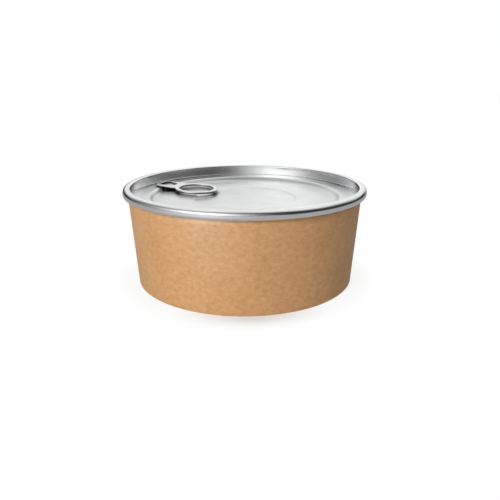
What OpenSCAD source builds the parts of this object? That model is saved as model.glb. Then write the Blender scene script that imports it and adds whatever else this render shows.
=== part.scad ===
// Paper bowl closed by a rolled-on aluminium lid with a ring pull.
// Frame: origin at the centre of the foot, Z up, millimetres.

/* [Bowl] */
// Overall height, foot to top of the seam
height = 50; // [46:1:80]
// Diameter across the seam, the widest place
lid_d = 126; // [122:1:140]
// Diameter of the wall at the foot
base_d = 115; // [100:1:117]
// Thickness of the board
board_t = 0.5; // [0.4:0.05:0.6]
// Height of the underside of the bottom disc above the table
recess_h = 5.5; // [5:0.25:8]
// Free height between the turned-in hem and the bottom disc
hem_gap = 0.5; // [0.3:0.1:1.5]
// Width of the glued side lap at the back of the wall
lap_w = 8; // [5:1:14]
// How far the wall stands out just below the seam
wall_flare = 0.42; // [0.3:0.02:0.6]

/* [Seam] */
// Height of the rolled seam
seam_h = 4.3; // [4.1:0.1:5]
// Width of the rolled seam, chuck wall to outer face
seam_w = 3.8; // [3.7:0.05:4.2]
// Thickness of the lid sheet
lid_t = 0.28; // [0.22:0.01:0.32]
// Rounding of the seam's outer top edge
crown_r = 2.2; // [1.8:0.1:2.4]
// Depth of the sealing compound under the top of the seam
seal_t = 0.72; // [0.6:0.02:0.9]
// How far the board's hook reaches down inside the seam
board_hook_h = 2.2; // [2:0.1:2.4]
// How far the lid's hook reaches up inside the seam
lid_hook_h = 2.2; // [1.9:0.1:2.4]

/* [Panel] */
// Drop from the top of the seam to the raised ring of the panel
ring_drop = 5.5; // [5:0.1:6]
// Radius lost between the chuck wall and the edge of the raised ring
groove_w = 1.25; // [1.2:0.05:1.6]
// Depth of the groove around the panel
groove_h = 1.3; // [1.1:0.1:1.6]
// Inset of the tear score from the edge of the raised ring
score_inset = 3; // [2.5:0.1:3.5]
// Depth of the tear score
score_h = 0.12; // [0.08:0.01:0.15]
// Inset of the panel floor from the edge of the raised ring
floor_inset = 9.7; // [9:0.1:11]
// Drop from the raised ring to the panel floor
floor_drop = 1.9; // [1.6:0.1:2.1]
// Run of the slope between the raised ring and the panel floor
floor_run = 1.4; // [1:0.1:1.8]
// Rise of the soft swell across the panel floor
swell_h = 0.3; // [0.1:0.05:0.4]
// Radius of the shallow round dish in the middle
dish_r = 26.6; // [22:0.2:28]
// Depth of the dish
dish_h = 0.65; // [0.4:0.05:0.8]
// Run of the slope around the dish
dish_run = 0.8; // [0.7:0.05:1.2]
// Half width of the pad that carries the rivet
pad_half_w = 4.6; // [4.4:0.1:4.8]

/* [Tab] */
// Direction from the middle of the lid to the tab's nose, degrees
tab_angle = 154; // [0:1:359]
// Distance of the nose from the chuck wall
nose_inset = 6.25; // [6:0.25:7]
// Slope of the tab down to its ring end, degrees
tab_tilt = 2.4; // [2:0.1:2.8]
// Height of the nose above the raised ring
nose_gap = 0.25; // [0.2:0.05:0.4]
// Thickness of the tab sheet
tab_t = 0.3; // [0.25:0.01:0.35]
// Diameter of the tab's rolled edges
edge_d = 1.2; // [1.1:0.05:1.3]
// Extra radius of the rolled edges where they bend
bend_swell = 0.02; // [0.02:0.01:0.04]
// How far the flat of the tab lies below the top of its rolled edges
web_drop = 0.1; // [0.06:0.01:0.15]
// Width of the nose
nose_w = 13; // [12.6:0.2:14]
// Rounding of the nose's corners
nose_corner_r = 2; // [1.5:0.1:2.2]
// Rounding where the nose widens into the ring
shoulder_r = 3; // [2:0.25:4]
// Outer diameter of the ring
ring_d = 23.8; // [23.6:0.2:25]
// Diameter of the finger hole
finger_d = 18.7; // [17.5:0.1:18.8]
// Distance from the nose to the middle of the ring
ring_x = 23.1; // [22.8:0.1:24.5]
// Distance from the nose to the rivet
rivet_x = 5.2; // [5:0.1:5.4]
// Diameter of the rivet's shank
rivet_d = 3.2; // [2.8:0.1:3.4]
// Diameter of the rivet's head
rivet_head_d = 5.2; // [4.6:0.1:5.4]
// Thickness of the rivet's head
rivet_head_t = 0.45; // [0.35:0.05:0.5]
// Width of the riveted tongue
tongue_w = 6.8; // [6.4:0.1:7]
// Clearance between the tongue and the tab around it
lance_gap = 0.4; // [0.3:0.05:0.5]

/* [Hidden] */
$fn = 72;
// Largest turn of one segment of a rounded corner, degrees
ARC_STEP = 23;
// Overshoot of a cutter past the face that it cuts
CUT = 1;

// Seam, from the outside in
seam_r = lid_d / 2;
seam_z = height - seam_h;
chuck_r = seam_r - seam_w;
wall_in_r = chuck_r + lid_t;
wall_out_r = wall_in_r + board_t;
flange_z = height - lid_t - seal_t;
hook_r = seam_r - 1.4;
roll_r = 1.2;
tuck_r = 0.6;

// Wall: a cone from the foot up to the mouth of the seam
neck_z = seam_z - 0.9;
neck_r = wall_out_r + wall_flare;
wall_slope = (neck_r - base_d / 2) / neck_z;
ply = board_t * sqrt(1 + wall_slope * wall_slope);
hem_z = recess_h - hem_gap;
lap_a = lap_w / base_d * 360 / PI;

// Panel levels and radii, all on its upper face
ring_z = height - ring_drop;
floor_z = ring_z - floor_drop;
ring_r = chuck_r - groove_w;
score_r = ring_r - score_inset;
floor_r = ring_r - floor_inset;
swell_r = (dish_r + floor_r) / 2;

// Tab, in its own frame: X from the nose to the middle of the lid, origin on the rolled nose
edge_r = edge_d / 2;
nose_r = chuck_r - nose_inset;
nose_z = ring_z + nose_gap + edge_r;
side_y = nose_w / 2 - edge_r;
ring_roll_r = ring_d / 2 - edge_r;
hole_roll_r = finger_d / 2 + edge_r;
shoulder_y = side_y + shoulder_r;
shoulder_x = ring_x - sqrt(pow(ring_roll_r + shoulder_r, 2) - pow(shoulder_y, 2));
shoulder_a = atan2(shoulder_y, ring_x - shoulder_x);
bend_lap = 0.15;
lance_x = edge_r + 0.1;
tongue_x = lance_x + lance_gap;
tongue_end_x = rivet_x + 0.9;

// Radius of the wall's outer face at height z, moved in by a number of plies
function wall_r(z, plies = 0) = base_d / 2 + wall_slope * z - plies * ply;

function unit(v) = v / norm(v);

// Points that round the corner b between a and c to radius r
function corner(a, b, c, r) =
    let (
        back = unit(a - b),
        on = unit(c - b),
        half = acos(back * on) / 2,
        centre = b + unit(back + on) * r / sin(half),
        first = b + back * r / tan(half) - centre,
        start = atan2(first.y, first.x),
        turn = sign(cross(b - a, c - b)) * (180 - 2 * half),
        count = ceil(abs(turn) / ARC_STEP)
    )
    [for (i = [0 : count]) centre + r * [cos(start + turn * i / count), sin(start + turn * i / count)]];

function flat(p) = [p.x, p.y];

// A line of [r, z, rounding] points with its corners rounded
function rounded(line) =
    let (last = len(line) - 1)
    [for (i = [0 : last])
        each (i == 0 || i == last || line[i].z == 0)
            ? [flat(line[i])]
            : corner(flat(line[i - 1]), flat(line[i]), flat(line[i + 1]), line[i].z)];

// Right-hand normal of the step from a to b
function normal(a, b) = let (step = unit(b - a)) [step.y, -step.x];

// A line moved to its right by d
function moved(line, d) =
    let (last = len(line) - 1)
    [for (i = [0 : last])
        let (
            before = normal(line[max(i - 1, 0)], line[max(i, 1)]),
            after = normal(line[min(i, last - 1)], line[min(i + 1, last)]),
            middle = unit(before + after)
        )
        line[i] + middle * d / (middle * before)];

function turned(line) = [for (i = [len(line) - 1 : -1 : 0]) line[i]];

// Section of a sheet that lies between two distances to the right of a line
module sheet(line, from, to) {
    polygon(concat(moved(line, from), turned(moved(line, to))));
}

// Middle of the board, from the hem inside the foot up to its hook in the seam
function wall_line() = rounded([
    [wall_r(hem_z, 2.5), hem_z, 0],
    [wall_r(board_t / 2, 2.5), board_t / 2, 0.3],
    [wall_r(board_t / 2, 0.5), board_t / 2, 0.3],
    [wall_r(neck_z, 0.5), neck_z, 0],
    [wall_in_r + board_t / 2, seam_z + 0.3, 0],
    [wall_in_r + board_t / 2, flange_z - board_t / 2, 0.75],
    [hook_r - board_t / 2, flange_z - board_t / 2, 0.75],
    [hook_r - board_t / 2, flange_z - board_hook_h, 0]
]);

// Upper face of the bottom disc, out to its skirt and down into the fold of the wall
function bottom_line() = rounded([
    [0, recess_h + board_t, 0],
    [wall_r(recess_h + board_t, 1), recess_h + board_t, 1],
    [wall_r(board_t, 1), board_t, 0]
]);

// Outer face of the seam, from the foot of the chuck wall round to the tucked hook
function seam_corners() = [
    [chuck_r, ring_z - groove_h, 0.55],
    [chuck_r, height, 0.9],
    [seam_r, height, crown_r],
    [seam_r, seam_z, roll_r],
    [wall_out_r, seam_z, tuck_r],
    [wall_out_r, seam_z + lid_hook_h, 0]
];

// Upper face of the panel, from the middle to the groove around it
function panel_corners() = [
    [0, floor_z - dish_h, 0],
    [dish_r - dish_run / 2, floor_z - dish_h, 0.7],
    [dish_r + dish_run / 2, floor_z, 0.7],
    [swell_r, floor_z + swell_h, 90],
    [floor_r, floor_z, 0.7],
    [floor_r + floor_run, ring_z, 0.7],
    [ring_r, ring_z, 0.5],
    [ring_r, ring_z - groove_h, 0.55]
];

// Section of the groove that weakens the panel along its tear line
module score_section() {
    translate([score_r, ring_z])
        polygon([[-score_h, 0], [0, -score_h], [score_h, 0], [score_h, CUT], [-score_h, CUT]]);
}

// Plan of the rivet's pad, grown by d: round at its inner end, cut off square at radius out_r
module pad_plan(d, out_r) {
    half_w = pad_half_w + d;
    length = out_r - nose_r + rivet_x;
    translate([nose_r - rivet_x, 0]) intersection() {
        union() {
            circle(half_w);
            translate([0, -half_w]) square([length, 2 * half_w]);
        }
        translate([-half_w - CUT, -half_w - CUT]) square([length + half_w + CUT, 2 * (half_w + CUT)]);
    }
}

// Opening for the pad, whose edge ends inside the pad's wall
module pad_cut() {
    translate([0, 0, floor_z - CUT]) linear_extrude(floor_drop + 2 * CUT) pad_plan(-lid_t / 2, floor_r + 2);
}

// Pressed-up pad: a flat top that runs into the raised ring, and a wall down to the floor
module pad() {
    translate([0, 0, ring_z - lid_t]) linear_extrude(lid_t) pad_plan(0, floor_r + 2);
    translate([0, 0, floor_z - lid_t]) linear_extrude(floor_drop + lid_t) difference() {
        pad_plan(0, floor_r + floor_run);
        pad_plan(-lid_t, floor_r + 2 * CUT);
    }
}

// Button drawn up out of the panel and flattened over the tongue
module rivet() {
    translate([nose_r - rivet_x, 0, ring_z - lid_t]) cylinder(h = lid_t + tab_t + rivet_head_t, d = rivet_d);
    translate([nose_r - rivet_x, 0, ring_z + tab_t])
        cylinder(h = rivet_head_t, d1 = rivet_head_d, d2 = rivet_head_d - 0.8);
}

// Puts a piece that was drawn along +X into the tab's direction
module to_tab() {
    rotate([0, 0, tab_angle]) children();
}

// Puts a piece that was drawn in the tab's own frame onto the lid
module on_nose(tilt) {
    to_tab() translate([nose_r, 0, nose_z]) rotate([0, tilt, 180]) children();
}

// One blank of board: hem, foot, wall, and a hook rolled into the seam
module side_wall() {
    color("burlywood") {
        rotate_extrude() sheet(wall_line(), -board_t / 2, board_t / 2);
        rotate([0, 0, 90 - lap_a / 2]) rotate_extrude(angle = lap_a)
            sheet([[wall_r(board_t), board_t], [wall_r(neck_z), neck_z]], -board_t / 2, board_t);
    }
}

module bottom_disc() {
    color("tan") rotate_extrude() sheet(bottom_line(), 0, board_t);
}

// Compound that fills the top of the seam above the board's flange
module sealing_ring() {
    color("dimgray") rotate_extrude() intersection() {
        polygon(moved(rounded(seam_corners()), lid_t));
        translate([wall_in_r - CUT, flange_z]) square([seam_w + 2 * CUT, seal_t + CUT]);
    }
}

module lid() {
    color("silver") {
        difference() {
            rotate_extrude() difference() {
                sheet(rounded(concat(panel_corners(), seam_corners())), 0, lid_t);
                score_section();
            }
            to_tab() pad_cut();
        }
        to_tab() pad();
        to_tab() rivet();
    }
}

// Flap of the tab that stays flat under the rivet's head
module tab_tongue() {
    color("gainsboro") to_tab() translate([0, 0, ring_z]) linear_extrude(tab_t) difference() {
        union() {
            translate([nose_r - tongue_end_x, 0]) circle(d = tongue_w);
            translate([nose_r - tongue_end_x, -tongue_w / 2])
                square([tongue_end_x - tongue_x, tongue_w]);
        }
        translate([nose_r - rivet_x, 0]) circle(d = rivet_d);
    }
}

// Points along an arc of the tab's outline
function arc(centre, r, from, to) =
    let (count = ceil(abs(to - from) / ARC_STEP))
    [for (i = [0 : count]) centre + r * [cos(from + (to - from) * i / count), sin(from + (to - from) * i / count)]];

// Middle of the rolled edge on one side of the tab, from the nose to the end of the ring
function tab_side() = concat(
    arc([nose_corner_r, side_y - nose_corner_r], nose_corner_r, 180, 90),
    arc([shoulder_x, shoulder_y], shoulder_r, -90, -shoulder_a),
    arc([ring_x, 0], ring_roll_r, 180 - shoulder_a, 0)
);

// The other side of the tab, back to the nose, without the point at the ring's end that both share
function mirrored(line) = [for (i = [len(line) - 2 : -1 : 0]) [line[i].x, -line[i].y]];

// Plan of the tab's flat sheet between its rolled edges
module tab_plan() {
    difference() {
        polygon(concat(tab_side(), mirrored(tab_side())));
        translate([ring_x, 0]) circle(hole_roll_r);
        lance_plan();
    }
}

// Plan of the cut around the tongue
module lance_plan() {
    width = tongue_w + 2 * lance_gap;
    translate([tongue_end_x, 0]) circle(d = width);
    translate([lance_x, -width / 2]) square([tongue_end_x - lance_x, width]);
}

// Stretch of rolled edge of radius roll that follows an arc
module rolled_arc(centre, r, from, sweep, roll) {
    translate(centre) rotate([0, 0, from]) rotate_extrude(angle = sweep) translate([r, 0]) circle(roll);
}

// Rolled edges of the tab: straight nose and sides and the ring, run into swollen bends
module tab_edges() {
    bend = edge_r + bend_swell;
    ring_end_a = 180 - shoulder_a + bend_lap / ring_roll_r * 180 / PI;
    rotate([90, 0, 0]) cylinder(h = 2 * (side_y - nose_corner_r + bend_lap), r = edge_r, center = true);
    for (side = [-1, 1]) {
        rolled_arc([nose_corner_r, side * (side_y - nose_corner_r)], nose_corner_r, 135 - 45 * side, 90, bend);
        translate([nose_corner_r - bend_lap, side * side_y, 0]) rotate([0, 90, 0])
            cylinder(h = shoulder_x - nose_corner_r + 2 * bend_lap, r = edge_r);
        rolled_arc([shoulder_x, side * shoulder_y], shoulder_r, side > 0 ? -90 : shoulder_a, 90 - shoulder_a, bend);
    }
    rolled_arc([ring_x, 0], ring_roll_r, -ring_end_a, 2 * ring_end_a, edge_r);
    rolled_arc([ring_x, 0], hole_roll_r, 0, 360, edge_r);
}

module pull_tab() {
    color("lightgray") on_nose(tab_tilt) {
        translate([0, 0, edge_r - web_drop - tab_t]) linear_extrude(tab_t) tab_plan();
        tab_edges();
    }
}

side_wall();
bottom_disc();
sealing_ring();
lid();
tab_tongue();
pull_tab();
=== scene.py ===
"""Kraft-board bowl closed by a rolled-on aluminium lid with a ring pull.

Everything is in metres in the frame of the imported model: origin at the centre of the foot, Z up.
"""
import math

import bmesh
import bpy
from mathutils import Matrix, Vector, noise


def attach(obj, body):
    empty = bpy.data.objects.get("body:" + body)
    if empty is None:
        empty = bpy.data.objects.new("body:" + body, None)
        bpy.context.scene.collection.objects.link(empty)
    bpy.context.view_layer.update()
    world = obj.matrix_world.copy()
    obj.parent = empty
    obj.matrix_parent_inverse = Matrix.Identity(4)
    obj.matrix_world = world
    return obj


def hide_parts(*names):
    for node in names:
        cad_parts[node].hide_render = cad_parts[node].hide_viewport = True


MM = 0.001

# Bowl
HEIGHT = 50.0
LID_R = 63.0
FOOT_R = 57.5
BOARD_T = 0.5
RECESS_H = 5.5
HEM_GAP = 0.5
LAP_W = 8.0
WALL_FLARE = 0.42
HEM_BEND_R = 0.3
LAP_EDGE_SLOPE = 10
LAP_EDGE_LEFT = 0.02
LAP_PATTERN_U = 0.5
SAG_H = 0.1
SAG_LENGTH = 26.0
SAG_STRETCH = 0.6
SAG_FADE_H = 12.0

# Seam
SEAM_H = 4.3
SEAM_W = 3.8
LID_T = 0.28
CROWN_R = 2.2
SEAL_T = 0.72
BOARD_HOOK_H = 2.2
LID_HOOK_H = 2.2
HOOK_INSET = 1.4
NECK_DROP = 0.9
NECK_RISE = 0.3
FLANGE_BEND_R = 0.75
CHUCK_BEND_R = 0.9
SEAM_BEND_R = 1.2
TUCK_BEND_R = 0.6

# Panel, all on its upper face
RING_DROP = 5.5
GROOVE_W = 1.25
GROOVE_H = 1.3
SCORE_INSET = 3.0
SCORE_H = 0.12
FLOOR_INSET = 9.7
FLOOR_DROP = 1.9
FLOOR_RUN = 1.4
SWELL_H = 0.3
DISH_R = 26.6
DISH_H = 0.65
DISH_RUN = 0.8
STEP_BEND_R = 0.7
SWELL_BEND_R = 90
RING_BEND_R = 0.5
GROOVE_BEND_R = 0.55
PAD_HALF_W = 4.6
PAD_SLOPE_W = 0.8
PAD_MARGIN = 0.5

# Tab
TAB_ANGLE = math.radians(154)
TAB_TILT = math.radians(2.4)
NOSE_INSET = 6.25
NOSE_GAP = 0.25
TAB_T = 0.3
EDGE_R = 0.6
WEB_DROP = 0.1
NOSE_W = 13.0
NOSE_CORNER_R = 2.0
SHOULDER_R = 3.0
TAB_RING_R = 11.9
FINGER_R = 9.35
RING_X = 23.1
RIVET_X = 5.2
RIVET_R = 1.6
RIVET_HEAD_R = 2.6
RIVET_HEAD_T = 0.45
DIMPLE_R = 1.1
DIMPLE_RIM_R = 1.5
DIMPLE_H = 0.12
DIMPLE_BEND_R = 0.3
HEAD_BEND_R = 0.22
TONGUE_W = 6.8
TONGUE_REACH = 0.9
LANCE_GAP = 0.4
LANCE_EDGE = 0.1

# Derived places, in the same order
SEAM_Z = HEIGHT - SEAM_H
CHUCK_R = LID_R - SEAM_W
WALL_IN_R = CHUCK_R + LID_T
WALL_OUT_R = WALL_IN_R + BOARD_T
FLANGE_Z = HEIGHT - LID_T - SEAL_T
HOOK_R = LID_R - HOOK_INSET
NECK_Z = SEAM_Z - NECK_DROP
NECK_R = WALL_OUT_R + WALL_FLARE
WALL_SLOPE = (NECK_R - FOOT_R) / NECK_Z
PLY = BOARD_T * math.hypot(1, WALL_SLOPE)
HEM_Z = RECESS_H - HEM_GAP
RING_Z = HEIGHT - RING_DROP
FLOOR_Z = RING_Z - FLOOR_DROP
RING_R = CHUCK_R - GROOVE_W
SCORE_R = RING_R - SCORE_INSET
FLOOR_R = RING_R - FLOOR_INSET
SWELL_R = (DISH_R + FLOOR_R) / 2
NOSE_R = CHUCK_R - NOSE_INSET
NOSE_Z = RING_Z + NOSE_GAP + EDGE_R
SIDE_Y = NOSE_W / 2 - EDGE_R
RING_ROLL_R = TAB_RING_R - EDGE_R
HOLE_ROLL_R = FINGER_R + EDGE_R
SHOULDER_Y = SIDE_Y + SHOULDER_R
SHOULDER_X = RING_X - math.sqrt((RING_ROLL_R + SHOULDER_R) ** 2 - SHOULDER_Y ** 2)
SHOULDER_A = math.atan2(SHOULDER_Y, RING_X - SHOULDER_X)
LANCE_X = EDGE_R + LANCE_EDGE
TONGUE_X = LANCE_X + LANCE_GAP
TONGUE_END_X = RIVET_X + TONGUE_REACH

# Camera, from the outline of the photograph
CAMERA_AT = (0.0, -0.265, 0.10025)
CAMERA_TILT = 90 - 18.286
CAMERA_PAN = -0.59
CAMERA_LENS = 36.495
CAMERA_SENSOR = 36
CAMERA_CLIP = (0.01, 50)

# Lamps
WORLD_LIGHT = 0.33
LAMP_AIM = (0, 0, 0.03)
KEY_AT = (-0.39, -0.65, 0.42)
KEY_SIZE = 0.35
KEY_WATTS = 4.8
SHEEN_AT = (-0.43, -0.6, 0.06)
SHEEN_SIZE = 0.3
SHEEN_WATTS = 8.0

# Floor: its brightness in the metal by distance from a pool of light, and its contact shadow
FLOOR_HALF = 6.0
FLOOR_COLOUR = (0.88, 0.88, 0.87, 1)
POOL_AT = (-0.2, -0.3, 0.0)
FLOOR_IN_METAL = ((0.0, 1.0), (0.26, 0.43), (0.75, 0.35), (1.0, 0.08))
SHADOW_AT = (0.003, -0.06, 0.0)
SHADOW_REACH = 0.016
SHADOW_OPEN = (0.6, 0.93)
SHADOW_DEPTH = (0.8, 0.01)
SHADOW_FADE = (0.004, 0.037)
SHADOW_ELSEWHERE = 0.15

# Light tent, seen only in the metal: brightness of its parts
TENT_R = 1.5
TENT_Z = 0.047
TENT_BACK = 0.91
TENT_KEY = 1.6
TENT_LEFT = 0.2
TENT_SIDE = 0.04
TENT_TOP = 0.1

# Light tent: where its parts begin and end, or their middle and width, in degrees
BACK_OVER = (78, 134)
BACK_LIFT = (11, 16)
BACK_RIGHT = (22, 28)
BACK_LEFT = (18, 22)
BACK_FADE = (22, 45)
FOOT_HEIGHT = (5, 9)
FOOT_ASIDE = (8, 13)
FOOT_LOSS = 0.8
PATCH_AZIMUTH = (171.5, 4.5)
PATCH_HEIGHT = (16, 24)
PATCH_GAIN = 0.22
KEY_AZIMUTH = (-38, 33)
KEY_HEIGHT = (22, 24)
LEFT_FROM = (-135, -95)
LEFT_TO = (-40, 20)
TOP_HEIGHT = (45, 70)

# Colours; the board's from pale to dark
KRAFT_TONES = ((0.67, 0.375, 0.170), (0.573, 0.304, 0.123), (0.45, 0.222, 0.079))
BOTTOM_TONES = ((0.66, 0.38, 0.19), (0.57, 0.32, 0.145), (0.47, 0.245, 0.1))
COMPOUND_TONES = ((0.08, 0.08, 0.085), (0.13, 0.13, 0.135))
FLECK_TONE = 0.6
SHEET_COLOUR = (0.88, 0.885, 0.89)
TAB_COLOUR = (0.88, 0.88, 0.88)
# near-black painted shade for the metal where it is closed in, such as under the tab; not a colour of
# the sheet
PAINTED_SHADE_COLOUR = (0.02, 0.02, 0.02)

# Shares in the board's tone
MOTTLE_SHARE = 0.58
FIBRE_SHARE = 0.34
FLECK_SHARE = 0.35

# Clouding of the metal: its darker tone, and what it takes from and adds to the roughness
CLOUD_TONE = 0.93
CLOUD_ROUGH = (0.04, 0.05)

# Painted shade in the metal's gaps: openness of closed and open places, their share of the painted
# near-black, and where it ends
PAINTED_SHADE_OPEN = (0.5, 0.93)
PAINTED_SHADE_DEPTH = (0.98, 0.0)
PAINTED_SHADE_FADE = 2.0

# How much smoother the seam is than the panel, from the rollers, and where that begins
BURNISH = 0.2
BURNISH_INSET = (1.0, 0.4)

# Edges that stay crisp, in degrees
BOARD_CREASE = 50
LID_CREASE = 38
TAB_CREASE = 40

# Fineness of round forms
TURN_COUNT = 288
RIVET_COUNT = 48
TUBE_SIDES = 16
LAP_ROWS = 28
LAP_COLUMNS = 16
WALL_STEP = 2.2
BOTTOM_STEP = 3.0
LID_STEP = 1.5
TAB_STEP = 1.2
ARC_STEP = math.radians(9)
RING_STEP = math.radians(5)
PAD_ARC = math.radians(8)
PAD_COUNT = 48
OFF_PAD_COUNT = 264
TENT_COLUMNS = 180
TENT_ROWS = 60
AO_SAMPLES = 16


# Outlines

def rounded(line, step=ARC_STEP):
    """A line of (x, y, rounding) points with its corners rounded, as 2-D vectors."""
    points = [Vector(p[:2]) for p in line]
    made = [points[0]]
    for i in range(1, len(line) - 1):
        radius = line[i][2]
        here = points[i]
        if radius == 0:
            made.append(here)
            continue
        back = (points[i - 1] - here).normalized()
        on = (points[i + 1] - here).normalized()
        half = math.acos(max(-1.0, min(1.0, back.dot(on)))) / 2
        centre = here + (back + on).normalized() * (radius / math.sin(half))
        first = here + back * (radius / math.tan(half)) - centre
        start = math.atan2(first.y, first.x)
        way = here - points[i - 1]
        turn = math.copysign(math.pi - 2 * half, way.cross(points[i + 1] - here))
        count = max(2, math.ceil(abs(turn) / step))
        for k in range(count + 1):
            a = start + turn * k / count
            made.append(centre + Vector((math.cos(a), math.sin(a))) * radius)
    made.append(points[-1])
    return made


def moved(line, distance):
    """A line moved to its right by a distance."""
    made = []
    last = len(line) - 1
    for i, point in enumerate(line):
        before = (line[max(i, 1)] - line[max(i - 1, 0)]).normalized()
        after = (line[min(i + 1, last)] - line[min(i, last - 1)]).normalized()
        first = Vector((before.y, -before.x))
        middle = (first + Vector((after.y, -after.x))).normalized()
        made.append(point + middle * (distance / middle.dot(first)))
    return made


def filled_in(line, longest):
    """A line with points added so that no step is longer than a length."""
    made = [line[0]]
    for a, b in zip(line, line[1:]):
        count = max(1, math.ceil((b - a).length / longest))
        made.extend(a.lerp(b, k / count) for k in range(1, count + 1))
    return made


def arc(centre, radius, start, end, step=ARC_STEP):
    """Points of an arc, both ends included; angles in radians."""
    count = max(2, math.ceil(abs(end - start) / step))
    angles = [start + (end - start) * k / count for k in range(count + 1)]
    return [Vector(centre) + Vector((math.cos(a), math.sin(a))) * radius for a in angles]


# Meshes

def finish_mesh(name, bm, material, body, nodes=()):
    """Turns a bmesh in millimetres into a smooth piece that rides on a body."""
    bmesh.ops.scale(bm, vec=(MM, MM, MM), verts=bm.verts)
    bmesh.ops.recalc_face_normals(bm, faces=bm.faces)
    mesh = bpy.data.meshes.new(name)
    bm.to_mesh(mesh)
    bm.free()
    mesh.materials.append(material)
    mesh.polygons.foreach_set("use_smooth", [True] * len(mesh.polygons))
    piece = bpy.data.objects.new(name, mesh)
    bpy.context.scene.collection.objects.link(piece)
    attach(piece, body)
    if nodes:
        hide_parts(*nodes)
    return piece


def sharpen(piece, angle):
    """Keeps edges sharper than an angle, in degrees, crisp."""
    mesh = piece.data
    bm = bmesh.new()
    bm.from_mesh(mesh)
    for edge in bm.edges:
        if len(edge.link_faces) == 2 and edge.calc_face_angle() > math.radians(angle):
            edge.smooth = False
    bm.to_mesh(mesh)
    bm.free()


def lathe(bm, section, angles, shape=None):
    """Turns a closed section round Z at the given angles. shape(place) may move a point."""
    columns = []
    for a in angles:
        column = []
        for point in section:
            place = Vector((point.x * math.cos(a), point.x * math.sin(a), point.y))
            column.append(bm.verts.new(shape(place) if shape else place))
        columns.append(column)
    layer = bm.loops.layers.uv.verify()
    count = len(section)
    along = [0.0]
    for i in range(count):
        along.append(along[-1] + (section[(i + 1) % count] - section[i]).length)
    for k, column in enumerate(columns):
        beside = columns[(k + 1) % len(columns)]
        a0 = angles[k]
        a1 = angles[k + 1] if k + 1 < len(columns) else angles[0] + 2 * math.pi
        for i in range(count):
            j = (i + 1) % count
            if section[i].x < 1e-6 and section[j].x < 1e-6:
                continue
            face = bm.faces.new((column[i], beside[i], beside[j], column[j]))
            spots = ((a0, along[i]), (a1, along[i]), (a1, along[i + 1]), (a0, along[i + 1]))
            for loop, (a, s) in zip(face.loops, spots):
                loop[layer].uv = (a * FOOT_R * MM, s * MM)
    bmesh.ops.remove_doubles(bm, verts=bm.verts, dist=1e-6)


def even_angles(count):
    return [2 * math.pi * k / count for k in range(count)]


def tube(bm, path, radius, sides=TUBE_SIDES):
    """A closed tube along a closed 3-D path."""
    rings = []
    count = len(path)
    for i in range(count):
        along = (path[(i + 1) % count] - path[i - 1]).normalized()
        out = along.cross(Vector((0, 0, 1))).normalized()
        up = out.cross(along).normalized()
        ring = []
        for k in range(sides):
            a = 2 * math.pi * k / sides
            ring.append(bm.verts.new(path[i] + (out * math.cos(a) + up * math.sin(a)) * radius))
        rings.append(ring)
    for i in range(count):
        here, there = rings[i], rings[(i + 1) % count]
        for k in range(sides):
            m = (k + 1) % sides
            bm.faces.new((here[k], here[m], there[m], there[k]))


def plate(bm, outline, holes, low, high):
    """A flat plate with holes, from an outline and hole outlines of 2-D points."""
    loops = [outline, *holes]
    edges = []
    for loop in loops:
        verts = [bm.verts.new((p.x, p.y, low)) for p in loop]
        edges.extend(bm.edges.new((verts[i - 1], verts[i])) for i in range(len(verts)))
    made = bmesh.ops.triangle_fill(bm, use_beauty=True, edges=edges)
    faces = [g for g in made["geom"] if isinstance(g, bmesh.types.BMFace)]
    raised = bmesh.ops.extrude_face_region(bm, geom=faces)
    verts = [g for g in raised["geom"] if isinstance(g, bmesh.types.BMVert)]
    bmesh.ops.translate(bm, vec=(0, 0, high - low), verts=verts)


# Materials

def node_material(name):
    """A new material with only an output and a principled shader, and its parts."""
    material = bpy.data.materials.new(name)
    material.use_nodes = True
    tree = material.node_tree
    shader = next(n for n in tree.nodes if n.type == "BSDF_PRINCIPLED")
    return material, tree, shader


def add(tree, kind, **settings):
    """A new node with its settings filled in by name."""
    node = tree.nodes.new(kind)
    for key, value in settings.items():
        setattr(node, key, value)
    return node


def noise_node(tree, source, scale, detail, stretch=(1, 1, 1), roughness=0.5):
    """Noise at a scale per metre, stretched along the source's axes."""
    mapping = add(tree, "ShaderNodeMapping")
    mapping.inputs["Scale"].default_value = stretch
    tree.links.new(source, mapping.inputs["Vector"])
    node = add(tree, "ShaderNodeTexNoise")
    node.inputs["Scale"].default_value = scale
    node.inputs["Detail"].default_value = detail
    node.inputs["Roughness"].default_value = roughness
    tree.links.new(mapping.outputs["Vector"], node.inputs["Vector"])
    return node.outputs["Fac"]


def ramp_node(tree, source, stops):
    """Colour ramp through (place, colour) stops."""
    node = add(tree, "ShaderNodeValToRGB")
    ramp = node.color_ramp
    while len(ramp.elements) < len(stops):
        ramp.elements.new(0.5)
    for element, (place, colour) in zip(ramp.elements, stops):
        element.position = place
        element.color = (*colour, 1)
    tree.links.new(source, node.inputs["Fac"])
    return node.outputs["Color"]


def mixed(tree, factor, a, b, blend="MIX"):
    """Colour mix; factor, a and b are sockets, numbers or colours."""
    node = add(tree, "ShaderNodeMix", data_type="RGBA", blend_type=blend)
    sockets = {"Factor": node.inputs[0], "A": node.inputs[6], "B": node.inputs[7]}
    for key, value in (("Factor", factor), ("A", a), ("B", b)):
        if isinstance(value, bpy.types.NodeSocket):
            tree.links.new(value, sockets[key])
        elif key == "Factor":
            sockets[key].default_value = value
        else:
            sockets[key].default_value = (*value, 1)
    return node.outputs[2]


def mapped(tree, source, low, high, to_low, to_high):
    """A value mapped from one range to another."""
    node = add(tree, "ShaderNodeMapRange")
    tree.links.new(source, node.inputs["Value"])
    node.inputs["From Min"].default_value = low
    node.inputs["From Max"].default_value = high
    node.inputs["To Min"].default_value = to_low
    node.inputs["To Max"].default_value = to_high
    return node.outputs["Result"]


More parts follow.
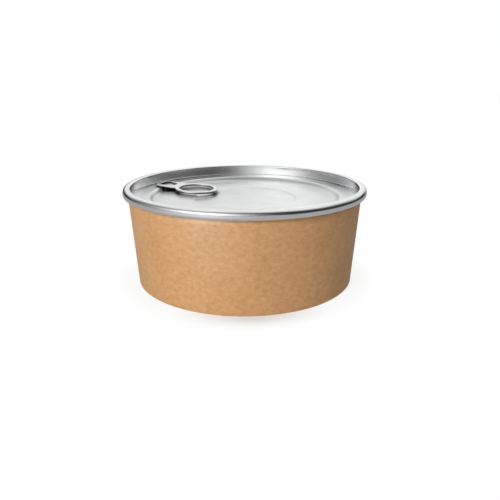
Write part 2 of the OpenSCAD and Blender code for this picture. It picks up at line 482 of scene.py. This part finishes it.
def math_node(tree, operation, a, b):
    """Result of a sum, product or the like on two sockets or numbers."""
    node = add(tree, "ShaderNodeMath", operation=operation)
    for socket, value in zip(node.inputs, (a, b)):
        if isinstance(value, bpy.types.NodeSocket):
            tree.links.new(value, socket)
        else:
            socket.default_value = value
    return node.outputs["Value"]


def distance_from(tree, place, point):
    """Distance of a place from a fixed point."""
    node = add(tree, "ShaderNodeVectorMath", operation="DISTANCE")
    node.inputs[1].default_value = point
    tree.links.new(place, node.inputs[0])
    return node.outputs["Value"]


def openness(tree, reach):
    """1 on open surfaces, less in gaps narrower than a reach in metres."""
    node = add(tree, "ShaderNodeAmbientOcclusion", samples=AO_SAMPLES)
    node.inputs["Distance"].default_value = reach
    return node.outputs["AO"]


def bumped(tree, shader, source, distance, strength=1.0, after=None):
    """A bump from a height socket, on top of an earlier bump."""
    node = add(tree, "ShaderNodeBump")
    node.inputs["Distance"].default_value = distance
    node.inputs["Strength"].default_value = strength
    tree.links.new(source, node.inputs["Height"])
    if after is not None:
        tree.links.new(after, node.inputs["Normal"])
    tree.links.new(node.outputs["Normal"], shader.inputs["Normal"])
    return node.outputs["Normal"]


def kraft_material(name, pale, mid, dark):
    """Uncoated kraft board: clouds, fine mottling, fibres both ways, dark flecks and a soft tooth."""
    material, tree, shader = node_material(name)
    place = add(tree, "ShaderNodeTexCoord").outputs["UV"]
    cloud = noise_node(tree, place, scale=95, detail=3, stretch=(1, 0.6, 1))
    mottle = noise_node(tree, place, scale=450, detail=5, stretch=(0.8, 1, 1), roughness=0.6)
    fibre = noise_node(tree, place, scale=1500, detail=3, stretch=(0.3, 1, 1), roughness=0.6)
    cross_fibre = noise_node(tree, place, scale=1500, detail=3, stretch=(1, 0.3, 1), roughness=0.6)
    fleck = noise_node(tree, place, scale=1300, detail=1, stretch=(0.45, 1, 1), roughness=0.4)
    tone = ramp_node(tree, cloud, ((0.2, dark), (0.5, mid), (0.8, pale)))
    speck = ramp_node(tree, mottle, ((0.33, dark), (0.5, mid), (0.67, pale)))
    tone = mixed(tree, MOTTLE_SHARE, tone, speck)
    tone = mixed(tree, mapped(tree, fibre, 0.4, 0.75, 0.0, FIBRE_SHARE), tone, dark)
    tone = mixed(tree, mapped(tree, cross_fibre, 0.4, 0.75, 0.0, FIBRE_SHARE), tone, pale)
    darkest = [c * FLECK_TONE for c in dark]
    tone = mixed(tree, mapped(tree, fleck, 0.72, 0.8, 0.0, FLECK_SHARE), tone, darkest)
    tree.links.new(tone, shader.inputs["Base Color"])
    tree.links.new(mapped(tree, mottle, 0.3, 0.7, 0.42, 0.56), shader.inputs["Roughness"])
    shader.inputs["Specular IOR Level"].default_value = 0.5
    first = bumped(tree, shader, mottle, distance=0.00006, strength=0.4)
    second = bumped(tree, shader, fibre, distance=0.00003, strength=0.5, after=first)
    bumped(tree, shader, cross_fibre, distance=0.00003, strength=0.5, after=second)
    return material


def metal_material(name, colour, rough, grain_stretch, grain_depth, shade_reach, shade_limit):
    """Rolled aluminium sheet: satin, with a fine directional grain and faint clouding.

    Painted shade: places closed in within shade_reach millimetres get near-black mixed into the base
    colour, out to a radius of shade_limit millimetres.
    """
    material, tree, shader = node_material(name)
    place = add(tree, "ShaderNodeTexCoord").outputs["Object"]
    grain = noise_node(tree, place, scale=2600, detail=2, stretch=grain_stretch)
    cloud = noise_node(tree, place, scale=90, detail=3)
    dim = [c * CLOUD_TONE for c in colour]
    tone = mixed(tree, mapped(tree, cloud, 0.3, 0.7, 0, 1), colour, dim)
    flat = add(tree, "ShaderNodeVectorMath", operation="MULTIPLY")
    flat.inputs[1].default_value = (1, 1, 0)
    tree.links.new(place, flat.inputs[0])
    radius = distance_from(tree, flat.outputs["Vector"], (0, 0, 0))
    # painted shade: near-black mixed into the base colour where the sheet is closed in, inside
    # shade_limit
    closed = mapped(tree, openness(tree, shade_reach * MM), *PAINTED_SHADE_OPEN, *PAINTED_SHADE_DEPTH)
    inside = mapped(tree, radius, shade_limit * MM, (shade_limit + PAINTED_SHADE_FADE) * MM, 1.0, 0.0)
    tone = mixed(tree, math_node(tree, "MULTIPLY", closed, inside), tone, PAINTED_SHADE_COLOUR)
    tree.links.new(tone, shader.inputs["Base Color"])
    shader.inputs["Metallic"].default_value = 1.0
    satin = mapped(tree, cloud, 0.25, 0.75, rough - CLOUD_ROUGH[0], rough + CLOUD_ROUGH[1])
    seam = [(RING_R - inset) * MM for inset in BURNISH_INSET]
    burnish = mapped(tree, radius, *seam, 0.0, BURNISH)
    tree.links.new(math_node(tree, "SUBTRACT", satin, burnish), shader.inputs["Roughness"])
    bumped(tree, shader, grain, distance=0.000008, strength=grain_depth)
    return material


def compound_material(name):
    """Matt sealing compound with a slightly uneven skin."""
    material, tree, shader = node_material(name)
    place = add(tree, "ShaderNodeTexCoord").outputs["Object"]
    cloud = noise_node(tree, place, scale=400, detail=3)
    tree.links.new(mixed(tree, cloud, *COMPOUND_TONES), shader.inputs["Base Color"])
    shader.inputs["Roughness"].default_value = 0.7
    bumped(tree, shader, cloud, distance=0.00005, strength=0.4)
    return material


# Pieces

def wall_r(z, plies=0.0):
    """Radius of the wall's outer face at a height, moved in by a number of plies."""
    return FOOT_R + WALL_SLOPE * z - plies * PLY


def board_sag(place):
    """Moves a point in or out by the board's long soft wave, which ends at the seam."""
    r = math.hypot(place.x, place.y)
    free = max(0.0, min(1.0, (NECK_Z - place.z) / SAG_FADE_H))
    spot = Vector((place.x, place.y, place.z * SAG_STRETCH)) / SAG_LENGTH
    wave = noise.noise(spot) * SAG_H * free
    return Vector((place.x * (1 + wave / r), place.y * (1 + wave / r), place.z))


def make_wall(material):
    """The side wall from the edge of its hem, round the foot and up to the hook in the seam."""
    line = rounded([
        (wall_r(HEM_Z, 2.5), HEM_Z, 0),
        (wall_r(BOARD_T / 2, 2.5), BOARD_T / 2, HEM_BEND_R),
        (wall_r(BOARD_T / 2, 0.5), BOARD_T / 2, HEM_BEND_R),
        (wall_r(NECK_Z, 0.5), NECK_Z, 0),
        (WALL_IN_R + BOARD_T / 2, SEAM_Z + NECK_RISE, 0),
        (WALL_IN_R + BOARD_T / 2, FLANGE_Z - BOARD_T / 2, FLANGE_BEND_R),
        (HOOK_R - BOARD_T / 2, FLANGE_Z - BOARD_T / 2, FLANGE_BEND_R),
        (HOOK_R - BOARD_T / 2, FLANGE_Z - BOARD_HOOK_H, 0),
    ])
    line = filled_in(line, WALL_STEP)
    section = moved(line, -BOARD_T / 2) + moved(line, BOARD_T / 2)[::-1]
    bm = bmesh.new()
    lathe(bm, section, even_angles(TURN_COUNT), board_sag)
    wall = finish_mesh("side_wall_board", bm, material, "bowl", ["side_wall"])
    sharpen(wall, BOARD_CREASE)
    return wall


def make_lap(material):
    """The outer ply of the glued side lap, with its edges pressed down and its own patch of pattern."""
    bm = bmesh.new()
    half_a = LAP_W / 2 / FOOT_R
    low, high = BOARD_T, NECK_Z
    rows, columns = LAP_ROWS, LAP_COLUMNS
    layer = bm.loops.layers.uv.verify()
    grid = []
    for i in range(rows + 1):
        z = low + (high - low) * i / rows
        row = []
        for k in range(columns + 1):
            t = 2 * k / columns - 1
            proud = BOARD_T * min(1.0, (1 - abs(t)) * LAP_EDGE_SLOPE + LAP_EDGE_LEFT)
            a = math.pi / 2 + half_a * t
            r = wall_r(z) + proud
            row.append(bm.verts.new(board_sag(Vector((r * math.cos(a), r * math.sin(a), z)))))
        grid.append(row)
    for i in range(rows):
        for k in range(columns):
            face = bm.faces.new((grid[i][k], grid[i][k + 1], grid[i + 1][k + 1], grid[i + 1][k]))
            for loop, (m, n) in zip(face.loops, ((i, k), (i, k + 1), (i + 1, k + 1), (i + 1, k))):
                loop[layer].uv = (LAP_PATTERN_U + n * LAP_W / columns * MM, m * (high - low) / rows * MM)
    inner = {}
    for row in (grid[0], grid[-1]):
        for vert in row:
            flat = Vector((vert.co.x, vert.co.y, 0))
            inner[vert] = bm.verts.new(vert.co - flat.normalized() * BOARD_T)
    for row in (grid[0], grid[-1]):
        for a, b in zip(row, row[1:]):
            bm.faces.new((a, b, inner[b], inner[a]))
    return finish_mesh("side_lap", bm, material, "bowl")


def make_bottom(material):
    """The recessed bottom with its skirt turned down inside the wall."""
    top = RECESS_H + BOARD_T
    line = rounded([(0, top, 0), (wall_r(top, 1), top, 1), (wall_r(BOARD_T, 1), BOARD_T, 0)])
    line = filled_in(line, BOTTOM_STEP)
    section = line + moved(line, BOARD_T)[::-1]
    bm = bmesh.new()
    lathe(bm, section, even_angles(TURN_COUNT // 2))
    return finish_mesh("bottom_board", bm, material, "bowl", ["bottom_disc"])


def pad_share(place):
    """1 on the rivet's pad, 0 away from it, with a short slope between."""
    x = place.x * math.cos(TAB_ANGLE) + place.y * math.sin(TAB_ANGLE) - (NOSE_R - RIVET_X)
    y = -place.x * math.sin(TAB_ANGLE) + place.y * math.cos(TAB_ANGLE)
    outside = math.hypot(min(x, 0.0), y) - PAD_HALF_W
    t = max(0.0, min(1.0, 0.5 - outside / PAD_SLOPE_W))
    return t * t * (3 - 2 * t)


def panel_level(r):
    """Height of the panel's upper face at a radius between the dish and the raised ring."""
    if r < FLOOR_R:
        return FLOOR_Z + SWELL_H * (FLOOR_R - r) / (FLOOR_R - SWELL_R)
    return FLOOR_Z + FLOOR_DROP * min(1.0, (r - FLOOR_R) / FLOOR_RUN)


def press_panel(place):
    """Lifts both faces of the panel to the level of the raised ring under the rivet."""
    r = math.hypot(place.x, place.y)
    if r > FLOOR_R + FLOOR_RUN + PAD_MARGIN or r < SWELL_R:
        return place
    lift = (RING_Z - panel_level(r)) * pad_share(place)
    return Vector((place.x, place.y, min(place.z + lift, RING_Z)))


def panel_corners():
    """Upper face of the lid from its middle out to the groove, as radius, height and rounding."""
    return [
        (0, FLOOR_Z - DISH_H, 0),
        (DISH_R - DISH_RUN / 2, FLOOR_Z - DISH_H, STEP_BEND_R),
        (DISH_R + DISH_RUN / 2, FLOOR_Z, STEP_BEND_R),
        (SWELL_R, FLOOR_Z + SWELL_H, SWELL_BEND_R),
        (FLOOR_R, FLOOR_Z, STEP_BEND_R),
        (FLOOR_R + FLOOR_RUN, RING_Z, STEP_BEND_R),
        (SCORE_R - SCORE_H, RING_Z, 0),
        (SCORE_R, RING_Z - SCORE_H, 0),
        (SCORE_R + SCORE_H, RING_Z, 0),
        (RING_R, RING_Z, RING_BEND_R),
        (RING_R, RING_Z - GROOVE_H, GROOVE_BEND_R),
    ]


def seam_corners():
    """Upper face of the lid from the groove over the crown to the end of its hook."""
    return [
        (CHUCK_R, RING_Z - GROOVE_H, GROOVE_BEND_R),
        (CHUCK_R, HEIGHT, CHUCK_BEND_R),
        (LID_R, HEIGHT, CROWN_R),
        (LID_R, SEAM_Z, SEAM_BEND_R),
        (WALL_OUT_R, SEAM_Z, TUCK_BEND_R),
        (WALL_OUT_R, SEAM_Z + LID_HOOK_H, 0),
    ]


def tab_fine_angles():
    """Angles round the lid, closer together across the rivet's pad."""
    start = TAB_ANGLE - PAD_ARC
    end = TAB_ANGLE + PAD_ARC
    on_pad = [start + 2 * PAD_ARC * k / PAD_COUNT for k in range(PAD_COUNT)]
    off_arc = 2 * math.pi - 2 * PAD_ARC
    return on_pad + [end + off_arc * k / OFF_PAD_COUNT for k in range(OFF_PAD_COUNT)]


def make_lid(material):
    """The lid's sheet, with the panel pressed up to a pad under the rivet."""
    line = filled_in(rounded(panel_corners() + seam_corners()), LID_STEP)
    section = line + moved(line, LID_T)[::-1]
    bm = bmesh.new()
    lathe(bm, section, tab_fine_angles(), press_panel)
    lid = finish_mesh("lid_sheet", bm, material, "bowl", ["lid"])
    sharpen(lid, LID_CREASE)
    return lid


def tab_place(tilt):
    """Turns the tab's own frame, X from the nose to the middle of the lid, into the model's."""
    at = Vector((NOSE_R * math.cos(TAB_ANGLE), NOSE_R * math.sin(TAB_ANGLE), NOSE_Z))
    turn = Matrix.Rotation(TAB_ANGLE + math.pi, 4, "Z")
    return Matrix.Translation(at) @ turn @ Matrix.Rotation(tilt, 4, "Y")


def tab_outline():
    """Middle of the tab's rolled edge, as a closed 2-D line from the nose round the ring."""
    quarter = math.pi / 2
    side = arc((NOSE_CORNER_R, SIDE_Y - NOSE_CORNER_R), NOSE_CORNER_R, math.pi, quarter)
    side += arc((SHOULDER_X, SHOULDER_Y), SHOULDER_R, -quarter, -SHOULDER_A)
    side += arc((RING_X, 0), RING_ROLL_R, math.pi - SHOULDER_A, 0, RING_STEP)[1:]
    back = [Vector((p.x, -p.y)) for p in side[-2::-1]]
    return side + back


def lance_outline():
    """Edge of the cut around the tongue."""
    half = TONGUE_W / 2 + LANCE_GAP
    end = arc((TONGUE_END_X, 0), half, -math.pi / 2, math.pi / 2)
    return [Vector((LANCE_X, -half)), *end, Vector((LANCE_X, half))]


def make_tab(material):
    """The ring pull: a thin web between its rolled outer edge and its rolled finger hole."""
    bm = bmesh.new()
    outline = tab_outline()
    hole = arc((RING_X, 0), HOLE_ROLL_R, 0, 2 * math.pi, RING_STEP)[:-1]
    edge = filled_in(outline + outline[:1], TAB_STEP)[:-1]
    tube(bm, [p.to_3d() for p in edge], EDGE_R)
    tube(bm, [p.to_3d() for p in hole], EDGE_R)
    top = EDGE_R - WEB_DROP
    plate(bm, outline, [hole, lance_outline()], top - TAB_T, top)
    bmesh.ops.transform(bm, matrix=tab_place(TAB_TILT), verts=bm.verts)
    tab = finish_mesh("pull_tab_sheet", bm, material, "tab", ["pull_tab"])
    sharpen(tab, TAB_CREASE)
    return tab


def make_tongue(material):
    """The tongue that is cut free of the tab and riveted flat to the lid."""
    bm = bmesh.new()
    half = TONGUE_W / 2
    end = arc((TONGUE_END_X, 0), half, -math.pi / 2, math.pi / 2)
    outline = [Vector((TONGUE_X, -half)), *end, Vector((TONGUE_X, half))]
    rivet = arc((RIVET_X, 0), RIVET_R, 0, 2 * math.pi)[:-1]
    low = RING_Z - NOSE_Z
    plate(bm, outline, [rivet], low, low + TAB_T)
    bmesh.ops.transform(bm, matrix=tab_place(0), verts=bm.verts)
    tongue = finish_mesh("tab_tongue_sheet", bm, material, "bowl", ["tab_tongue"])
    sharpen(tongue, TAB_CREASE)
    return tongue


def make_rivet(material):
    """The button of the lid, flattened over the tongue."""
    under = RING_Z + TAB_T
    top = under + RIVET_HEAD_T
    line = rounded([
        (0, top - DIMPLE_H, 0),
        (DIMPLE_R, top - DIMPLE_H, DIMPLE_BEND_R),
        (DIMPLE_RIM_R, top, DIMPLE_BEND_R),
        (RIVET_HEAD_R, top, HEAD_BEND_R),
        (RIVET_HEAD_R, under, 0),
        (0, under, 0),
    ])
    bm = bmesh.new()
    lathe(bm, line, even_angles(RIVET_COUNT))
    r = NOSE_R - RIVET_X
    at = Vector((r * math.cos(TAB_ANGLE), r * math.sin(TAB_ANGLE), 0))
    bmesh.ops.translate(bm, vec=at, verts=bm.verts)
    return finish_mesh("rivet_head", bm, material, "bowl")


# Studio

def bare_material(name):
    """A new material with only an output, and its node tree and output socket."""
    material = bpy.data.materials.new(name)
    material.use_nodes = True
    tree = material.node_tree
    tree.nodes.clear()
    return material, tree, add(tree, "ShaderNodeOutputMaterial").inputs["Surface"]


def floor_glow(tree, place, path):
    """White light, which the metal sees dimmer away from the pool."""
    away = mapped(tree, distance_from(tree, place, POOL_AT), 0.0, 1.0, 0.0, 1.0)
    dim = ramp_node(tree, away, [(at, (1 - level,) * 3) for at, level in FLOOR_IN_METAL])
    loss = math_node(tree, "MULTIPLY", dim, path.outputs["Is Glossy Ray"])
    glow = add(tree, "ShaderNodeEmission")
    glow.inputs["Color"].default_value = (1, 1, 1, 1)
    tree.links.new(math_node(tree, "SUBTRACT", 1.0, loss), glow.inputs["Strength"])
    return glow.outputs["Emission"]


def floor_share(tree, place, path):
    """How much of the glow a ray sees: all of it, but less for the camera close to the foot."""
    shade = mapped(tree, openness(tree, SHADOW_REACH), *SHADOW_OPEN, *SHADOW_DEPTH)
    aside = distance_from(tree, place, SHADOW_AT)
    front = mapped(tree, aside, *SHADOW_FADE, 1.0, SHADOW_ELSEWHERE)
    share = math_node(tree, "SUBTRACT", 1.0, math_node(tree, "MULTIPLY", shade, front))
    share = math_node(tree, "MULTIPLY", path.outputs["Is Camera Ray"], share)
    share = math_node(tree, "MAXIMUM", share, path.outputs["Is Glossy Ray"])
    return math_node(tree, "MAXIMUM", share, path.outputs["Is Transmission Ray"])


def floor_material():
    """Glows white for the rays that see it, and is a plain pale floor for the others."""
    material, tree, surface = bare_material("floor_white")
    path = add(tree, "ShaderNodeLightPath")
    place = add(tree, "ShaderNodeNewGeometry").outputs["Position"]
    diffuse = add(tree, "ShaderNodeBsdfDiffuse")
    diffuse.inputs["Color"].default_value = FLOOR_COLOUR
    blend = add(tree, "ShaderNodeMixShader")
    tree.links.new(floor_share(tree, place, path), blend.inputs["Fac"])
    tree.links.new(diffuse.outputs["BSDF"], blend.inputs[1])
    tree.links.new(floor_glow(tree, place, path), blend.inputs[2])
    tree.links.new(blend.outputs["Shader"], surface)
    return material


def make_floor():
    """A wide pale floor that reads as white and keeps a faint shadow under the bowl."""
    half = FLOOR_HALF
    corners = [(-half, -half, 0), (half, -half, 0), (half, half, 0), (-half, half, 0)]
    mesh = bpy.data.meshes.new("floor")
    mesh.from_pydata(corners, [], [(0, 1, 2, 3)])
    mesh.materials.append(floor_material())
    floor = bpy.data.objects.new("floor", mesh)
    bpy.context.scene.collection.objects.link(floor)


def make_world():
    """White where it is seen, and a mild light otherwise. In the metal the tent stands before it."""
    world = bpy.data.worlds.new("studio")
    world.use_nodes = True
    tree = world.node_tree
    background = next(n for n in tree.nodes if n.type == "BACKGROUND")
    background.inputs["Color"].default_value = (1, 1, 1, 1)
    path = add(tree, "ShaderNodeLightPath")
    seen = math_node(tree, "MAXIMUM", path.outputs["Is Camera Ray"], path.outputs["Is Glossy Ray"])
    seen = math_node(tree, "MAXIMUM", seen, path.outputs["Is Transmission Ray"])
    tree.links.new(mapped(tree, seen, 0, 1, WORLD_LIGHT, 1.0), background.inputs["Strength"])
    bpy.context.scene.world = world


def bell(x, middle, width):
    """1 at the middle, falling off softly over a width."""
    return math.exp(-((x - middle) / width) ** 2)


def ramp(x, low, high):
    """0 below low, 1 above high, smooth between."""
    t = max(0.0, min(1.0, (x - low) / (high - low)))
    return t * t * (3 - 2 * t)


def between(ends, share):
    """A value that runs from the first end at a share of 0 to the second at 1."""
    return ends[0] + (ends[1] - ends[0]) * share


def tent_shade(way):
    """Brightness of the light tent in a direction.

    It has a white back that reaches over the top, a soft key at the front left and dark sides. Azimuth
    is 0 towards the viewer and grows to the right, height is above the horizon, over runs from the back
    across the top, and aside is away from the middle plane.
    """
    azimuth = math.degrees(math.atan2(way.x, -way.y))
    height = math.degrees(math.asin(way.z))
    over = math.degrees(math.atan2(way.z, way.y))
    aside = math.degrees(math.asin(abs(way.x)))
    lift = ramp(height, *BACK_LIFT)
    reach = between(BACK_RIGHT if way.x > 0 else BACK_LEFT, lift)
    back = TENT_BACK * (1 - ramp(over, *BACK_OVER))
    back *= 1 - ramp(aside, reach, reach + between(BACK_FADE, lift))
    if way.x < 0:
        back *= 1 - FOOT_LOSS * (1 - ramp(height, *FOOT_HEIGHT)) * ramp(aside, *FOOT_ASIDE)
    back *= 1 + PATCH_GAIN * bell(azimuth, *PATCH_AZIMUTH) * (1 - ramp(height, *PATCH_HEIGHT))
    key = TENT_KEY * bell(azimuth, *KEY_AZIMUTH) * bell(height, *KEY_HEIGHT)
    left = TENT_LEFT * ramp(azimuth, *LEFT_FROM) * ramp(-azimuth, *LEFT_TO)
    top = ramp(height, *TOP_HEIGHT)
    walls = (TENT_SIDE + key + left) * (1 - top)
    return max(back, walls + TENT_TOP * top)


def tent_mesh():
    """A dome of quads, painted with its brightness."""
    foot = -math.asin(TENT_Z / TENT_R)
    places, faces, shades = [], [], []
    for i in range(TENT_ROWS + 1):
        height = foot + (math.pi / 2 - foot) * i / TENT_ROWS
        flat = math.cos(height)
        for k in range(TENT_COLUMNS):
            azimuth = -math.pi + 2 * math.pi * k / TENT_COLUMNS
            way = Vector((math.sin(azimuth) * flat, -math.cos(azimuth) * flat, math.sin(height)))
            places.append(way * TENT_R + Vector((0, 0, TENT_Z)))
            shades.append(tent_shade(way))
    for i in range(TENT_ROWS):
        low, high = i * TENT_COLUMNS, (i + 1) * TENT_COLUMNS
        for k in range(TENT_COLUMNS):
            m = (k + 1) % TENT_COLUMNS
            faces.append((low + k, low + m, high + m, high + k))
    mesh = bpy.data.meshes.new("tent")
    mesh.from_pydata(places, [], faces)
    paint = mesh.color_attributes.new("shade", "FLOAT_COLOR", "POINT")
    for spot, shade in zip(paint.data, shades):
        spot.color = (shade, shade, shade, 1)
    return mesh


def tent_material():
    """Gives off the painted brightness."""
    material, tree, surface = bare_material("tent_paint")
    paint = add(tree, "ShaderNodeVertexColor", layer_name="shade")
    glow = add(tree, "ShaderNodeEmission")
    tree.links.new(paint.outputs["Color"], glow.inputs["Color"])
    tree.links.new(glow.outputs["Emission"], surface)
    return material


def make_tent():
    """A painted light tent around the set, seen only in the metal."""
    mesh = tent_mesh()
    mesh.materials.append(tent_material())
    tent = bpy.data.objects.new("tent", mesh)
    tent.visible_camera = False
    tent.visible_diffuse = False
    tent.visible_transmission = False
    tent.visible_shadow = False
    bpy.context.scene.collection.objects.link(tent)


def make_lamp(name, at, size, watts):
    """A round soft lamp that is aimed at the bowl."""
    lamp = bpy.data.lights.new(name, "AREA")
    lamp.shape = "DISK"
    lamp.size = size
    lamp.energy = watts
    holder = bpy.data.objects.new(name, lamp)
    holder.location = at
    aim = Vector(LAMP_AIM) - Vector(at)
    holder.rotation_euler = aim.to_track_quat("-Z", "Y").to_euler()
    bpy.context.scene.collection.objects.link(holder)
    return holder


def light_board(pieces):
    """A soft key from the front left, and its sheen on the board from low on the same side."""
    key = make_lamp("key", KEY_AT, KEY_SIZE, KEY_WATTS)
    key.visible_glossy = False
    sheen = make_lamp("sheen", SHEEN_AT, SHEEN_SIZE, SHEEN_WATTS)
    sheen.visible_diffuse = False
    board = bpy.data.collections.new("board")
    for piece in pieces:
        board.objects.link(piece)
    sheen.light_linking.receiver_collection = board


def make_camera():
    """The view of the photograph."""
    camera = bpy.data.cameras.new("camera")
    camera.sensor_width = CAMERA_SENSOR
    camera.lens = CAMERA_LENS
    camera.clip_start, camera.clip_end = CAMERA_CLIP
    holder = bpy.data.objects.new("camera", camera)
    holder.location = CAMERA_AT
    holder.rotation_euler = (math.radians(CAMERA_TILT), 0, math.radians(CAMERA_PAN))
    bpy.context.scene.collection.objects.link(holder)
    bpy.context.scene.camera = holder


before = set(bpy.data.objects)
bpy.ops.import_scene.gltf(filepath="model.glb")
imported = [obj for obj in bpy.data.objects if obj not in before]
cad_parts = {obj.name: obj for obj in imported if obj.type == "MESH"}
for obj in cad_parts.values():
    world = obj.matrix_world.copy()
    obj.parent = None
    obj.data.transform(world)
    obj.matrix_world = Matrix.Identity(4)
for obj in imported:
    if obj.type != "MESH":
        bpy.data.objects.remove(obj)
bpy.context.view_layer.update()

kraft = kraft_material("kraft_board", *KRAFT_TONES)
kraft_under = kraft_material("kraft_bottom", *BOTTOM_TONES)
lid_metal = metal_material(
    "lid_aluminium",
    SHEET_COLOUR,
    rough=0.33,
    grain_stretch=(1, 0.03, 1),
    grain_depth=0.25,
    shade_reach=3.6,
    shade_limit=52.0,
)
rivet_metal = metal_material(
    "rivet_aluminium",
    SHEET_COLOUR,
    rough=0.2,
    grain_stretch=(0.04, 1, 1),
    grain_depth=0.2,
    shade_reach=1.0,
    shade_limit=60.0,
)
tab_metal = metal_material(
    "tab_aluminium",
    TAB_COLOUR,
    rough=0.14,
    grain_stretch=(0.04, 1, 1),
    grain_depth=0.2,
    shade_reach=5.0,
    shade_limit=60.0,
)

board_pieces = [make_wall(kraft), make_lap(kraft), make_bottom(kraft_under)]
make_lid(lid_metal)
make_rivet(rivet_metal)
make_tongue(rivet_metal)
make_tab(tab_metal)
sealing_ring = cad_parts["sealing_ring"]
sealing_ring.data.materials.clear()
sealing_ring.data.materials.append(compound_material("sealing_compound"))

make_camera()
make_floor()
make_world()
make_tent()
light_board(board_pieces)

bpy.context.scene.view_settings.view_transform = "Standard"
